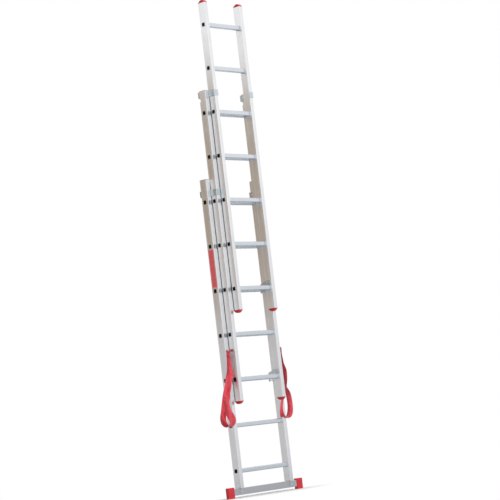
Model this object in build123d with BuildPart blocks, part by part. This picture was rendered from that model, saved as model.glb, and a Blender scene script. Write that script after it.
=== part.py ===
"""Three-section aluminium extension ladder with a stabiliser bar and two spreader straps.

Millimetres. +Z is up from the floor, x runs across the ladder and -y faces the climber.
The base section stands at the back, and each further section slides in front of it.
"""
import os
from dataclasses import dataclass
from math import pi, radians, sqrt, tan

from build123d import *

# Sections and the spacing of their rungs
rung_count = 7
rung_pitch = 280.0
raised_rungs = 2            # each section is hooked this many rungs above the one behind it
base_width = 476.0          # outside width of the base section
depth_step = 50.0           # each section stands this far in front of the one behind it
side_gap = 5.0              # free space between the stiles of neighbouring sections
upper_end = 141.0           # stile above the top rung
base_lower_end = 105.0      # base stile below its bottom rung, down to the stabiliser bar
lower_end = 133.0           # the other stiles below their bottom rung, down to the shoe

# Stile extrusion
stile_width = 28.0
stile_depth = 56.0
stile_wall = 1.6
stile_corner = 3.0
web_groove_width = 4.0
web_groove_depth = 0.6
web_groove_offset = 20.0    # groove centre from the middle of the web
flange_groove_width = 9.0
notch_radius = 10.0         # half-round notch in the back of each middle stile
notch_drop = 58.0           # notch centre below the top of the stile

# Rung extrusion
rung_size = 28.0
rung_corner = 6.0
rung_wall = 1.6
rung_hole_clearance = 0.1
tread_groove_count = 4
tread_groove_pitch = 4.6
tread_groove_width = 1.8
tread_groove_depth = 0.7
collar_thickness = 3.0      # swaged bead inside the stile
collar_reach = 2.2
flare_thickness = 1.0       # flared rim on the outside of the stile
flare_reach = 1.6

# Stabiliser bar and its end caps
bar_length = 652.0
bar_depth = 20.0
bar_height = 42.0
bar_wall = 2.0
bar_corner = 2.0
bar_floor_gap = 16.0
bar_groove_width = 3.0
bar_groove_depth = 0.7
bar_groove_offset = 13.5
bar_cap_length = 55.0
bar_cap_wall = 2.2
bar_cap_top_wall = 9.0
bar_cap_end_wall = 10.0
bar_cap_fillet = 4.0
bar_cap_groove_width = 3.0
bar_cap_groove_depth = 1.0
bar_cap_groove_pitch = 13.0

# Spigots that carry the base stiles on the bar, and the bolts through them
slip = 0.2                  # clearance all round a piece that slips into another
spigot_rise = 70.0
bolt_radius = 4.0
bolt_head_across = 13.0
bolt_head_height = 5.3
nut_height = 6.5
bolt_tail = 3.0
washer_radius = 8.5
washer_thickness = 1.6
bolt_clearance = 0.15

# Caps, shoes and plugs on the stile ends
cap_lip = 0.6
cap_straight = 3.0
cap_dome = 16.0
cap_shoulder = 5.0          # rounding along the sides of the dome
plug_depth = 12.0
flush_plug_lip = 2.0

# Guide brackets, each riveted to one section and wrapped round the next
guide_thickness = 2.0
guide_height = 39.0
guide_clearance = 1.0
guide_bend = 3.0
guide_hook_reach = 12.0     # back of the bracket behind the stile it is riveted to
guide_hook_inset = 2.0
guide_hook_return = 8.0
guide_drop = {"base": 67.0, "middle": 2.0}
guide_rivet_offset = 12.0

# Rung hooks and their spring catches
hook_thickness = 4.0
hook_seat_gap = 0.4         # hook above and behind the rung that carries it
hook_arm_height = 12.0
hook_prong_width = 8.4
hook_prong_drop = 16.0      # prong below the underside of the rung
hook_front = 22.0
hook_top = 45.0
hook_shoulder_fillet = 12.0
hook_mouth_fillet = 4.0
hook_rivet_offset = 13.0
hook_rivet_rise = 33.0
catch_thickness = 3.0
catch_side_gap = 0.3
catch_height = 7.0
catch_drop = 3.5            # catch below the underside of the rung
catch_pin_radius = 2.0
catch_pin_clearance = 0.05

# Rivets
rivet_radius = 2.4
rivet_head_radius = 4.6
rivet_head_height = 1.7
rivet_head_taper = 40.0     # slope of the rounded heads, in degrees
rivet_clearance = 0.1

# Spreader straps: webbing looped over a bar on the middle section and riveted to the base stile
strap_width = 45.0
strap_thickness = 1.8
loop_height = 905.0         # centre of the strap loop above the floor
loop_bar = 10.0
loop_strip = 2.5
loop_rise = 9.0
loop_foot = 6.5
loop_span = 26.0
loop_back_gap = 3.0         # loop in front of the base stile
loop_rivet_radius = 1.6
loop_rivet_head = 2.8
strap_end_height = 764.0    # centre of the riveted strap end above the floor
strap_end_width = 24.0      # webbing folded in at its edges
strap_end_length = 38.0
strap_end_corner = 1.5
strap_rivet_head = 7.0

# Red label on the left base stile
label_width = 46.0
label_thickness = 0.4
label_clear = 3.0           # label above and below the nearest rung ends
label_rung = 4              # label starts above this rung, counted from the bottom at 0


@dataclass
class Section:
    """One ladder section: where its stiles and rungs stand."""

    name: str
    half: float
    y: float
    bottom_rung: float
    foot: float
    head: float

    @property
    def inner(self):
        return self.half - stile_width

    @property
    def centre(self):
        return self.half - stile_width / 2

    def rung_heights(self):
        return [self.bottom_rung + rung_pitch * number for number in range(rung_count)]


front_reach = guide_clearance + guide_thickness
middle_y = (front_reach - guide_hook_reach) / 2
base_bottom_rung = bar_floor_gap + bar_height + base_lower_end
rung_run = rung_pitch * (rung_count - 1)


def make_section(name, place, below):
    bottom = base_bottom_rung + place * raised_rungs * rung_pitch
    return Section(
        name=name,
        half=base_width / 2 - place * (stile_width + side_gap),
        y=middle_y + depth_step * (1 - place),
        bottom_rung=bottom,
        foot=bottom - below,
        head=bottom + rung_run + upper_end,
    )


base = make_section("base", 0, base_lower_end)
middle = make_section("middle", 1, lower_end)
top = make_section("top", 2, lower_end)
sections = (base, middle, top)
sides = {"left": -1, "right": 1}
bar_mid = bar_floor_gap + bar_height / 2
bolt_x = base.centre
hook_rung_gap = rung_size / 2 + hook_seat_gap
spigot_width = stile_width - 2 * stile_wall - 2 * slip
spigot_depth = stile_depth - 2 * stile_wall - 2 * slip
strap_tube_radius = sqrt(strap_width * strap_thickness / pi)

os.makedirs("parts", exist_ok=True)


def save(piece, name):
    """Name a finished piece and write it to its own file."""
    piece.part.label = name
    export_step(piece.part, f"parts/{name}.step")


def guide_middle(section):
    """Height of the middle of the guide brackets on a section."""
    return section.head - guide_drop[section.name] - guide_height / 2


def guide_rivet_points(section):
    return [
        (section.y + shift, guide_middle(section))
        for shift in (-guide_rivet_offset, guide_rivet_offset)
    ]


def hook_rivet_points(section):
    return [
        (section.y + shift, section.bottom_rung + hook_rivet_rise)
        for shift in (-hook_rivet_offset, hook_rivet_offset)
    ]


def spigot_rivet_points():
    return [
        (base.y + shift, base.foot + spigot_rise / 2)
        for shift in (-guide_rivet_offset, guide_rivet_offset)
    ]


# The strap loop stands on the part of the middle web that the base stile leaves free
loop_length = loop_span + 2 * (loop_foot + loop_strip)
loop_y = base.y - stile_depth / 2 - loop_back_gap - loop_length / 2


def loop_rivet_points():
    reach = loop_length / 2 - loop_foot / 2
    return [(loop_y - reach, loop_height), (loop_y + reach, loop_height)]


def strap_end_plane(side):
    """Front of the base stile, where a strap end is riveted on."""
    return Plane(
        origin=(side * base.centre, base.y - stile_depth / 2, strap_end_height),
        x_dir=(1, 0, 0),
        z_dir=(0, -1, 0),
    )


def make_stile(section, side):
    """Hollow extrusion with grooved faces and a row of rung holes."""
    web_x = side * section.half
    inner_x = side * section.inner
    with BuildPart() as stile:
        with BuildSketch(Plane.XY.offset(section.foot)):
            with Locations((side * section.centre, section.y)):
                RectangleRounded(stile_width, stile_depth, stile_corner)
                RectangleRounded(
                    stile_width - 2 * stile_wall,
                    stile_depth - 2 * stile_wall,
                    stile_corner - stile_wall,
                    mode=Mode.SUBTRACT,
                )
            for face_x in (web_x, inner_x):
                for shift in (-web_groove_offset, web_groove_offset):
                    with Locations((face_x, section.y + shift)):
                        Rectangle(2 * web_groove_depth, web_groove_width, mode=Mode.SUBTRACT)
            for shift in (-stile_depth / 2, stile_depth / 2):
                with Locations((side * section.centre, section.y + shift)):
                    Rectangle(flange_groove_width, 2 * web_groove_depth, mode=Mode.SUBTRACT)
        extrude(amount=section.head - section.foot)
        hole_size = rung_size + 2 * rung_hole_clearance
        with BuildSketch(Plane.YZ.offset(side * section.centre)):
            for height in section.rung_heights():
                with Locations((section.y, height)):
                    RectangleRounded(hole_size, hole_size, rung_corner)
        extrude(amount=stile_width, both=True, mode=Mode.SUBTRACT)
        inner_points = []
        outer_points = []
        if section is not top:
            inner_points += guide_rivet_points(section)
        if section is not base:
            inner_points += hook_rivet_points(section)
        if section is base:
            inner_points += spigot_rivet_points()
            outer_points += spigot_rivet_points()
        for face_x, points in ((inner_x, inner_points), (web_x, outer_points)):
            if points:
                with BuildSketch(Plane.YZ.offset(face_x)):
                    with Locations(*points):
                        Circle(rivet_radius + rivet_clearance)
                extrude(amount=stile_wall * 2, both=True, mode=Mode.SUBTRACT)
        if section is base:
            with BuildSketch(strap_end_plane(side)):
                Circle(rivet_radius + rivet_clearance)
            extrude(amount=stile_wall * 2, both=True, mode=Mode.SUBTRACT)
        if section is middle:
            with BuildSketch(Plane.YZ.offset(web_x)):
                with Locations(*loop_rivet_points()):
                    Circle(loop_rivet_radius + rivet_clearance)
            extrude(amount=stile_wall * 2, both=True, mode=Mode.SUBTRACT)
            with BuildSketch(Plane.YZ.offset(side * section.centre)):
                with Locations((section.y + stile_depth / 2, section.head - notch_drop)):
                    Circle(notch_radius)
            extrude(amount=stile_width, both=True, mode=Mode.SUBTRACT)
    return stile


def rung_outline():
    """Rounded square tube section with tread grooves on its top and underside."""
    RectangleRounded(rung_size, rung_size, rung_corner)
    span = tread_groove_pitch * (tread_groove_count - 1)
    for number in range(tread_groove_count):
        across = number * tread_groove_pitch - span / 2
        for face in (-rung_size / 2, rung_size / 2):
            with Locations((across, face)):
                Rectangle(tread_groove_width, 2 * tread_groove_depth, mode=Mode.SUBTRACT)


def make_rung(section, height):
    """Tread tube through both stiles, with a bead inside and a flared rim outside each."""
    bore = rung_size - 2 * (rung_wall + tread_groove_depth)
    with BuildPart() as rung:
        rung_plane = Plane(origin=(0, section.y, height), x_dir=(0, 1, 0), z_dir=(1, 0, 0))
        with BuildSketch(rung_plane):
            rung_outline()
        extrude(amount=section.half, both=True)
        for side in sides.values():
            collar_size = rung_size + 2 * collar_reach
            with BuildSketch(rung_plane.offset(side * section.inner)):
                RectangleRounded(collar_size, collar_size, rung_corner + collar_reach)
            extrude(amount=-side * collar_thickness)
            flare_size = rung_size + 2 * flare_reach
            with BuildSketch(rung_plane.offset(side * section.half)):
                RectangleRounded(flare_size, flare_size, rung_corner + flare_reach)
            extrude(amount=side * flare_thickness)
        with BuildSketch(rung_plane):
            RectangleRounded(bore, bore, rung_corner - rung_wall)
        extrude(amount=section.half + flare_thickness, both=True, mode=Mode.SUBTRACT)
    return rung


def make_bar():
    """Rectangular tube under the base stiles, grooved, with openings for the spigots."""
    with BuildPart() as bar:
        bar_plane = Plane(origin=(0, base.y, bar_mid), x_dir=(0, 1, 0), z_dir=(1, 0, 0))
        with BuildSketch(bar_plane):
            RectangleRounded(bar_depth, bar_height, bar_corner)
            Rectangle(bar_depth - 2 * bar_wall, bar_height - 2 * bar_wall, mode=Mode.SUBTRACT)
            for face in (-bar_depth / 2, bar_depth / 2):
                for shift in (-bar_groove_offset, bar_groove_offset):
                    with Locations((face, shift)):
                        Rectangle(2 * bar_groove_depth, bar_groove_width, mode=Mode.SUBTRACT)
        extrude(amount=bar_length / 2, both=True)
        with BuildSketch(Plane.XY.offset(bar_mid)):
            with Locations((-bolt_x, base.y), (bolt_x, base.y)):
                Rectangle(spigot_width + 2 * slip, bar_depth - 2 * bar_wall)
        extrude(amount=bar_height, mode=Mode.SUBTRACT)
        with BuildSketch(Plane.XZ.offset(-base.y)):
            with Locations((-bolt_x, bar_mid), (bolt_x, bar_mid)):
                Circle(bolt_radius + bolt_clearance)
        extrude(amount=bar_depth, both=True, mode=Mode.SUBTRACT)
    return bar


def make_spigots():
    """Blocks inside the stile ends, with a tongue that goes down into the bar."""
    tongue_depth = bar_depth - 2 * bar_wall - 2 * slip
    with BuildPart() as spigots:
        with BuildSketch(Plane.XY.offset(base.foot)):
            with Locations((-bolt_x, base.y), (bolt_x, base.y)):
                RectangleRounded(spigot_width, spigot_depth, stile_corner - stile_wall)
        extrude(amount=spigot_rise)
        with BuildSketch(Plane.XY.offset(base.foot)):
            with Locations((-bolt_x, base.y), (bolt_x, base.y)):
                Rectangle(spigot_width, tongue_depth)
        extrude(amount=-(bar_height - bar_wall - slip))
        with BuildSketch(Plane.XZ.offset(-base.y)):
            with Locations((-bolt_x, bar_mid), (bolt_x, bar_mid)):
                Circle(bolt_radius + bolt_clearance)
        extrude(amount=bar_depth, both=True, mode=Mode.SUBTRACT)
        with BuildSketch(Plane.YZ):
            with Locations(*spigot_rivet_points()):
                Circle(rivet_radius + rivet_clearance)
        extrude(amount=base_width, both=True, mode=Mode.SUBTRACT)
    return spigots


def make_bar_bolts():
    """Hex bolts through the bar and the spigots, with washers and nuts."""
    front = base.y - bar_depth / 2
    back = base.y + bar_depth / 2
    with BuildPart() as bolts:
        for bolt_place in (-bolt_x, bolt_x):
            front_plane = Plane(origin=(bolt_place, front, bar_mid), z_dir=(0, -1, 0))
            back_plane = Plane(origin=(bolt_place, back, bar_mid), z_dir=(0, 1, 0))
            for face_plane in (front_plane, back_plane):
                with BuildSketch(face_plane):
                    Circle(washer_radius)
                    Circle(bolt_radius + bolt_clearance, mode=Mode.SUBTRACT)
                extrude(amount=washer_thickness)
            with BuildSketch(back_plane.offset(washer_thickness)):
                RegularPolygon(bolt_head_across / 2, 6, major_radius=False)
                Circle(bolt_radius + bolt_clearance, mode=Mode.SUBTRACT)
            extrude(amount=nut_height)
    bolt_reach = bar_depth + washer_thickness * 2 + nut_height + bolt_tail
    with BuildPart() as shanks:
        for bolt_place in (-bolt_x, bolt_x):
            head_plane = Plane(
                origin=(bolt_place, front - washer_thickness, bar_mid), z_dir=(0, -1, 0)
            )
            with BuildSketch(head_plane):
                RegularPolygon(bolt_head_across / 2, 6, major_radius=False)
            extrude(amount=bolt_head_height)
            with BuildSketch(head_plane):
                Circle(bolt_radius)
            extrude(amount=-bolt_reach)
    return Compound(children=bolts.solids() + shanks.solids())


def make_bar_cap(side):
    """Plastic boot over the end of the bar, with a grooved grip and a flat sole."""
    end = bar_length / 2 + bar_cap_end_wall
    cap_depth = bar_depth + 2 * bar_cap_wall + 2 * slip
    cap_height = bar_floor_gap + bar_height + bar_cap_top_wall
    with BuildPart() as cap:
        outer_plane = Plane(origin=(side * end, base.y, 0), x_dir=(0, 1, 0), z_dir=(1, 0, 0))
        with BuildSketch(outer_plane):
            with Locations((0, cap_height / 2)):
                Rectangle(cap_depth, cap_height)
        extrude(amount=-side * bar_cap_length)
        long_edges = cap.edges().filter_by(Axis.X).sort_by(Axis.Z)[-2:]
        upright_edges = cap.edges().filter_by(Axis.Z)
        fillet(long_edges + upright_edges, bar_cap_fillet)
        grip_plane = Plane(origin=(side * end, base.y, bar_mid), x_dir=(0, 1, 0), z_dir=(1, 0, 0))
        with BuildSketch(grip_plane):
            for number in (-1, 0, 1):
                with Locations((0, number * bar_cap_groove_pitch)):
                    Rectangle(cap_depth, bar_cap_groove_width)
            Rectangle(
                cap_depth - 2 * bar_cap_groove_depth, cap_height, mode=Mode.SUBTRACT
            )
        extrude(amount=-side * bar_cap_length, mode=Mode.SUBTRACT)
        with BuildSketch(grip_plane.offset(-side * bar_cap_end_wall)):
            RectangleRounded(bar_depth + 2 * slip, bar_height + 2 * slip, bar_corner)
        extrude(amount=-side * bar_cap_length, mode=Mode.SUBTRACT)
    return cap


def make_end_cap(section, side, end, direction):
    """Domed plastic cap with a plug that goes into the end of the stile."""
    end_plane = Plane(
        origin=(side * section.centre, section.y, end),
        x_dir=(1, 0, 0),
        z_dir=(0, 0, direction),
    )
    lip_width = stile_width + 2 * cap_lip
    lip_depth = stile_depth + 2 * cap_lip
    dome_depth = lip_depth - stile_corner
    dome_width = lip_width - stile_corner
    with BuildPart() as cap:
        with BuildSketch(end_plane.offset(cap_straight)):
            Rectangle(dome_width, dome_depth)
        extrude(amount=cap_dome)
        arc_radius = (dome_depth ** 2 / 4 + cap_dome ** 2) / (2 * cap_dome)
        arc_plane = Plane(
            origin=end_plane.origin + Vector(0, 0, direction * (cap_straight + cap_dome - arc_radius)),
            x_dir=(0, 1, 0),
            z_dir=(1, 0, 0),
        )
        with BuildSketch(arc_plane):
            Circle(arc_radius)
        extrude(amount=dome_width, both=True, mode=Mode.INTERSECT)
        fillet(cap.edges().filter_by(GeomType.CIRCLE), cap_shoulder)
        with BuildSketch(end_plane):
            RectangleRounded(lip_width, lip_depth, stile_corner)
        extrude(amount=cap_straight)
        with BuildSketch(end_plane):
            RectangleRounded(spigot_width, spigot_depth, stile_corner - stile_wall)
        extrude(amount=-plug_depth)
    return cap


def make_flush_plugs(section):
    """Plugs that close the plain stile ends of a section."""
    with BuildPart() as plugs:
        for side in sides.values():
            with BuildSketch(Plane.XY.offset(section.head)):
                with Locations((side * section.centre, section.y)):
                    RectangleRounded(stile_width, stile_depth, stile_corner)
            extrude(amount=flush_plug_lip)
            with BuildSketch(Plane.XY.offset(section.head)):
                with Locations((side * section.centre, section.y)):
                    RectangleRounded(spigot_width, spigot_depth, stile_corner - stile_wall)
            extrude(amount=-plug_depth)
    return plugs


def make_guide(section, front, side):
    """Bent strip: hooked behind one stile, riveted inside it and lapped over the next one."""
    strip_x = section.inner - guide_thickness / 2
    back_y = section.y + stile_depth / 2
    hook_y = back_y + guide_hook_reach - guide_thickness / 2
    lip_y = front.y - stile_depth / 2 - guide_clearance - guide_thickness / 2
    route = [
        (section.half - guide_hook_inset, hook_y - guide_hook_return),
        (section.half - guide_hook_inset, hook_y),
        (strip_x, hook_y),
        (strip_x, lip_y),
        (front.inner - side_gap / 2, lip_y),
    ]
    height = guide_middle(section)
    with BuildPart() as guide:
        with BuildSketch(Plane.XY.offset(height - guide_height / 2)):
            with BuildLine():
                FilletPolyline(*[(side * x, y) for x, y in route], radius=guide_bend)
            trace(line_width=guide_thickness)
        extrude(amount=guide_height)
        with BuildSketch(Plane.YZ.offset(side * strip_x)):
            with Locations(*guide_rivet_points(section)):
                Circle(rivet_radius + rivet_clearance)
        extrude(amount=guide_thickness, both=True, mode=Mode.SUBTRACT)
    return guide


def prong_front(section):
    """Front of the prong, behind the rung of the next section back."""
    return section.y + depth_step + hook_rung_gap


def catch_pivot(section):
    """Where a catch turns, as y and z."""
    height = section.bottom_rung - rung_size / 2 - catch_drop - catch_height / 2
    return prong_front(section) + hook_prong_width / 2, height


def make_hook(section, side):
    """Flat hook on the inside of a stile that hangs over a rung of the section behind."""
    seat = section.bottom_rung + hook_rung_gap
    neck = section.bottom_rung + rung_size / 2 + collar_reach + collar_thickness
    prong = prong_front(section)
    tip = section.bottom_rung - rung_size / 2 - hook_prong_drop
    arm = seat + hook_arm_height
    outline = [
        (section.y - hook_front, neck),
        (section.y - hook_front, section.bottom_rung + hook_top),
        (section.y + hook_front, section.bottom_rung + hook_top),
        (prong + hook_prong_width, arm),
        (prong + hook_prong_width, tip),
        (prong, tip),
        (prong, seat),
        (section.y + stile_depth / 2, seat),
        (section.y + stile_depth / 2, neck),
    ]
    inner_x = side * section.inner
    with BuildPart() as hook:
        with BuildSketch(Plane.YZ.offset(inner_x)) as profile:
            with BuildLine():
                Polyline(*outline, close=True)
            make_face()
            mouth = profile.vertices().sort_by_distance((prong, seat, 0))[0]
            fillet(mouth, hook_mouth_fillet)
            shoulder = (prong + hook_prong_width, arm, 0)
            fillet(profile.vertices().sort_by_distance(shoulder)[0], hook_shoulder_fillet)
            tip_centre = (prong + hook_prong_width / 2, tip, 0)
            tip_corners = profile.vertices().sort_by_distance(tip_centre)[:2]
            fillet(tip_corners, hook_prong_width / 2 - slip)
            with Locations(*hook_rivet_points(section)):
                Circle(rivet_radius + rivet_clearance, mode=Mode.SUBTRACT)
            with Locations(catch_pivot(section)):
                Circle(catch_pin_radius + rivet_clearance, mode=Mode.SUBTRACT)
        extrude(amount=-side * hook_thickness)
    return hook


def make_catch(section, side):
    """Spring catch that closes the mouth of a hook under the rung."""
    pivot_y, pivot_z = catch_pivot(section)
    reach = pivot_y - (section.y + depth_step - rung_size / 2)
    face_x = section.inner - hook_thickness - catch_side_gap
    with BuildPart() as catch:
        with BuildSketch(Plane.YZ.offset(side * face_x)):
            with Locations((pivot_y - reach / 2, pivot_z)):
                SlotCenterToCenter(reach, catch_height)
            with Locations((pivot_y - reach, pivot_z - catch_height / 2)):
                SlotCenterToCenter(catch_height, catch_height, rotation=90)
            with Locations((pivot_y, pivot_z)):
                Circle(catch_pin_radius + catch_pin_clearance, mode=Mode.SUBTRACT)
        extrude(amount=-side * catch_thickness)
    return catch


def rivet_list(section, side):
    """Rivets of one side of a section: plane, inner end, outer end, shank radius and head radius."""
    web = section.inner + stile_wall
    guide_grip = section.inner - guide_thickness
    hook_grip = section.inner - hook_thickness
    groups = []
    if section is not top:
        groups.append((guide_rivet_points(section), guide_grip, web, rivet_radius, rivet_head_radius))
    if section is not base:
        groups.append((hook_rivet_points(section), hook_grip, web, rivet_radius, rivet_head_radius))
        pin_end = hook_grip - catch_thickness - 2 * catch_side_gap
        pin_head = hook_prong_width / 2 - slip
        groups.append(([catch_pivot(section)], pin_end, section.inner, catch_pin_radius, pin_head))
    if section is base:
        groups.append((spigot_rivet_points(), base.inner, base.half, rivet_radius, rivet_head_radius))
    if section is middle:
        inside = middle.half - stile_wall
        grip = middle.half + loop_strip
        groups.append((loop_rivet_points(), inside, grip, loop_rivet_radius, loop_rivet_head))
    rivets = []
    for points, *sizes in groups:
        for y, z in points:
            rivets.append((Plane(origin=(0, y, z), x_dir=(0, 0, 1), z_dir=(side, 0, 0)), *sizes))
    if section is base:
        sizes = (-stile_wall, strap_thickness, rivet_radius, strap_rivet_head)
        rivets.append((strap_end_plane(side), *sizes))
    return rivets


def make_rivets(section):
    """Every rivet and catch pin of one section, with a domed head at each end."""
    with BuildPart() as rivets:
        for side in sides.values():
            for rivet_plane, inner, outer, radius, head_radius in rivet_list(section, side):
                with BuildSketch(rivet_plane.offset(inner)):
                    Circle(radius)
                extrude(amount=outer - inner)
                for face, direction in ((inner, -1), (outer, 1)):
                    with BuildSketch(rivet_plane.offset(face)):
                        Circle(head_radius)
                    extrude(amount=direction * rivet_head_height, taper=rivet_head_taper)
    return rivets


def make_strap_loops():
    """Bent steel loops on the middle webs that the straps hang from."""
    half = loop_length / 2
    inner_half = loop_span / 2 + loop_strip / 2
    with BuildPart() as loops:
        for side in sides.values():
            foot_x = middle.half + loop_strip / 2
            bar_x = foot_x + loop_rise - loop_strip
            route = [
                (foot_x, loop_y - half),
                (foot_x, loop_y - inner_half),
                (bar_x, loop_y - inner_half),
                (bar_x, loop_y + inner_half),
                (foot_x, loop_y + inner_half),
                (foot_x, loop_y + half),
            ]
            with BuildSketch(Plane.XY.offset(loop_height - loop_bar / 2)):
                with BuildLine():
                    Polyline(*[(side * x, y) for x, y in route])
                trace(line_width=loop_strip)
            extrude(amount=loop_bar)
            with BuildSketch(Plane.YZ.offset(side * foot_x)):
                with Locations(*loop_rivet_points()):
                    Circle(loop_rivet_radius + rivet_clearance)
            extrude(amount=loop_strip, both=True, mode=Mode.SUBTRACT)
    return loops


def make_strap_ends():
    """Lower ends of the straps, riveted to the front of the base stiles."""
    with BuildPart() as ends:
        for side in sides.values():
            with BuildSketch(strap_end_plane(side)):
                RectangleRounded(strap_end_width, strap_end_length, strap_end_corner)
                Circle(rivet_radius + rivet_clearance, mode=Mode.SUBTRACT)
            extrude(amount=strap_thickness)
    return ends


# Each strap hangs from its loop, swings out past the base stile and comes back up to its riveted end.
# Points are distances outside the middle web, in front of the base stile, and above the floor.
strap_routes = {
    "left": [
        (8.0, 25.0, 898.2),
        (15.0, 20.5, 871.0),
        (36.0, 18.5, 822.0),
        (50.0, 32.5, 766.0),
        (66.0, 28.5, 708.0),
        (82.0, 20.5, 650.0),
        (92.0, 8.5, 597.0),
        (99.0, -8.5, 546.0),
        (100.0, -18.5, 500.0),
        (96.0, -20.5, 458.0),
        (77.0, -14.5, 437.0),
        (56.0, -6.5, 437.0),
        (42.0, -1.5, 456.0),
        (46.0, -6.5, 500.0),
        (56.0, -9.5, 550.0),
        (58.0, -7.5, 600.0),
        (52.0, 3.5, 650.0),
        (38.0, 13.5, 692.0),
        (26.0, 12.5, 722.0),
        (21.0, 5.3, 744.8),
    ],
    "right": [
        (8.0, 25.0, 898.0),
        (16.0, 24.0, 872.0),
        (39.0, 12.0, 825.0),
        (66.0, -4.0, 771.0),
        (86.0, -19.0, 715.0),
        (99.0, -31.5, 657.0),
        (107.0, -39.5, 600.0),
        (111.0, -42.5, 549.0),
        (109.0, -42.0, 508.0),
        (101.0, -37.5, 476.0),
        (72.0, -20.5, 452.0),
        (41.0, 3.0, 450.0),
        (19.5, 14.0, 469.0),
        (14.0, 9.5, 505.0),
        (13.0, 7.0, 555.0),
        (13.0, 6.5, 605.0),
        (14.0, 6.5, 655.0),
        (17.0, 6.5, 700.0),
        (20.0, 5.3, 744.8),
    ],
}
bend_share = 0.45           # share of the shorter run that each bend takes


def strap_points(side_name):
    """The route of one strap in the ladder's own frame."""
    front = base.y - stile_depth / 2
    side = sides[side_name]
    return [
        Vector(side * (middle.half + out), front - ahead, height)
        for out, ahead, height in strap_routes[side_name]
    ]


def bend_radii(points):
    """As large a bend at each corner as its two runs allow."""
    radii = []
    for before, corner, after in zip(points, points[1:], points[2:]):
        run = min((corner - before).length, (after - corner).length)
        turn = (corner - before).get_angle(after - corner)
        radii.append(bend_share * run / tan(radians(turn) / 2))
    return radii


def make_strap(side_name):
    """Plain round tube along one strap's route."""
    points = strap_points(side_name)
    radii = bend_radii(points)
    with BuildPart() as strap:
        with BuildLine() as path:
            FilletPolyline(*points, radius=radii)
        start = path.line @ 0
        with BuildSketch(Plane(origin=start, z_dir=path.line % 0)):
            Circle(strap_tube_radius)
        sweep()
    length = path.wire().length
    section_area = strap.part.volume / length
    print(f"{side_name} strap: length {length:.1f}, mean section {section_area:.2f}")
    print("  bend radii", [round(radius, 1) for radius in radii])
    return strap


def make_label():
    """Plain red label on the outer web of the left base stile."""
    low, high = base.rung_heights()[label_rung:label_rung + 2]
    edge = rung_size / 2 + flare_reach + label_clear
    with BuildPart() as label:
        with BuildSketch(Plane.YZ.offset(-base.half)):
            with Locations((base.y, (low + high) / 2)):
                Rectangle(label_width, high - low - 2 * edge)
        extrude(amount=-label_thickness)
    return label


for section in sections:
    for side_name, side in sides.items():
        save(make_stile(section, side), f"{section.name}_stile_{side_name}")
    for number, height in enumerate(section.rung_heights(), start=1):
        save(make_rung(section, height), f"{section.name}_rung_{number}")
    save(make_rivets(section), f"{section.name}_rivets")

for section in (middle, top):
    for side_name, side in sides.items():
        shoe = make_end_cap(section, side, section.foot, -1)
        save(shoe, f"{section.name}_shoe_{side_name}")
        save(make_hook(section, side), f"{section.name}_hook_{side_name}")
        save(make_catch(section, side), f"{section.name}_catch_{side_name}")

for section, front in ((base, middle), (middle, top)):
    save(make_flush_plugs(section), f"{section.name}_stile_plugs")
    for side_name, side in sides.items():
        save(make_guide(section, front, side), f"{section.name}_guide_{side_name}")

for side_name, side in sides.items():
    save(make_end_cap(top, side, top.head, 1), f"top_end_cap_{side_name}")
    save(make_bar_cap(side), f"stabiliser_cap_{side_name}")
    save(make_strap(side_name), f"strap_{side_name}")

save(make_bar(), "stabiliser_bar")
save(make_spigots(), "stabiliser_spigots")
bar_bolts = make_bar_bolts()
bar_bolts.label = "stabiliser_bolts"
export_step(bar_bolts, "parts/stabiliser_bolts.step")
save(make_strap_loops(), "strap_loops")
save(make_strap_ends(), "strap_ends")
save(make_label(), "label")
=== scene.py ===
import math

import bmesh
import bpy
from bpy.props import FloatProperty, PointerProperty, StringProperty
from mathutils import Matrix, Vector


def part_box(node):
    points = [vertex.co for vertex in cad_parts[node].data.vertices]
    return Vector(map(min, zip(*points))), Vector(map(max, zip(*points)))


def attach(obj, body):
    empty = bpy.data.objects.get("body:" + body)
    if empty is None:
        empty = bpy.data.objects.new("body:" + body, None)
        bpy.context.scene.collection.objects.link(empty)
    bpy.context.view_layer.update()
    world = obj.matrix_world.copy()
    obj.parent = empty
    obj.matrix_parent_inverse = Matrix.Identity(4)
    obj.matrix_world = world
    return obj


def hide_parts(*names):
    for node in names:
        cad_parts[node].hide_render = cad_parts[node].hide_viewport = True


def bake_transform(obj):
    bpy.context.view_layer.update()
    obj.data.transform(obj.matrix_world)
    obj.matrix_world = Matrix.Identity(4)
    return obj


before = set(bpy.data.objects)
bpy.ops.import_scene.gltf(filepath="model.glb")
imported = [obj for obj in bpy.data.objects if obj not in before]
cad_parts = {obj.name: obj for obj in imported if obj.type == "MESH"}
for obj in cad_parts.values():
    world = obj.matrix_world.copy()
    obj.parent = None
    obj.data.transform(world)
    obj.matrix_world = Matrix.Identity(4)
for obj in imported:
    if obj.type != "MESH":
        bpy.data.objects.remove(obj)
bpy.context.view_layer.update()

bl_info = {
    "name": "Sliding ladder finishes",
    "version": (1, 0, 0),
    "blender": (4, 5, 0),
    "location": "3D View > Sidebar > Ladder",
    "description": "Metal, plastic and webbing of a three-section ladder, and its stage",
    "category": "Object",
}

MM = 0.001
SECTIONS = ("base", "middle", "top")
SIDES = {"left": -1, "right": 1}
RUNGS = range(1, 8)
X, Z = 0, 2                 # axis numbers
TINY = 1e-9                 # keeps a division from being by nothing
MERGE = 0.01 * MM           # corners of a solid nearer than this are one

# Where the photograph was taken from: metres, degrees, and the lens and its sensor in mm.
CAMERA_PLACE = (-8.1831, -7.8846, 0.4032)
CAMERA_TURN = 46.30
CAMERA_TILT = 5.65
CAMERA_ROLL = -6.69
CAMERA_LENS = 130.29
CAMERA_SENSOR = 36
CAMERA_REACH = 200

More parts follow.
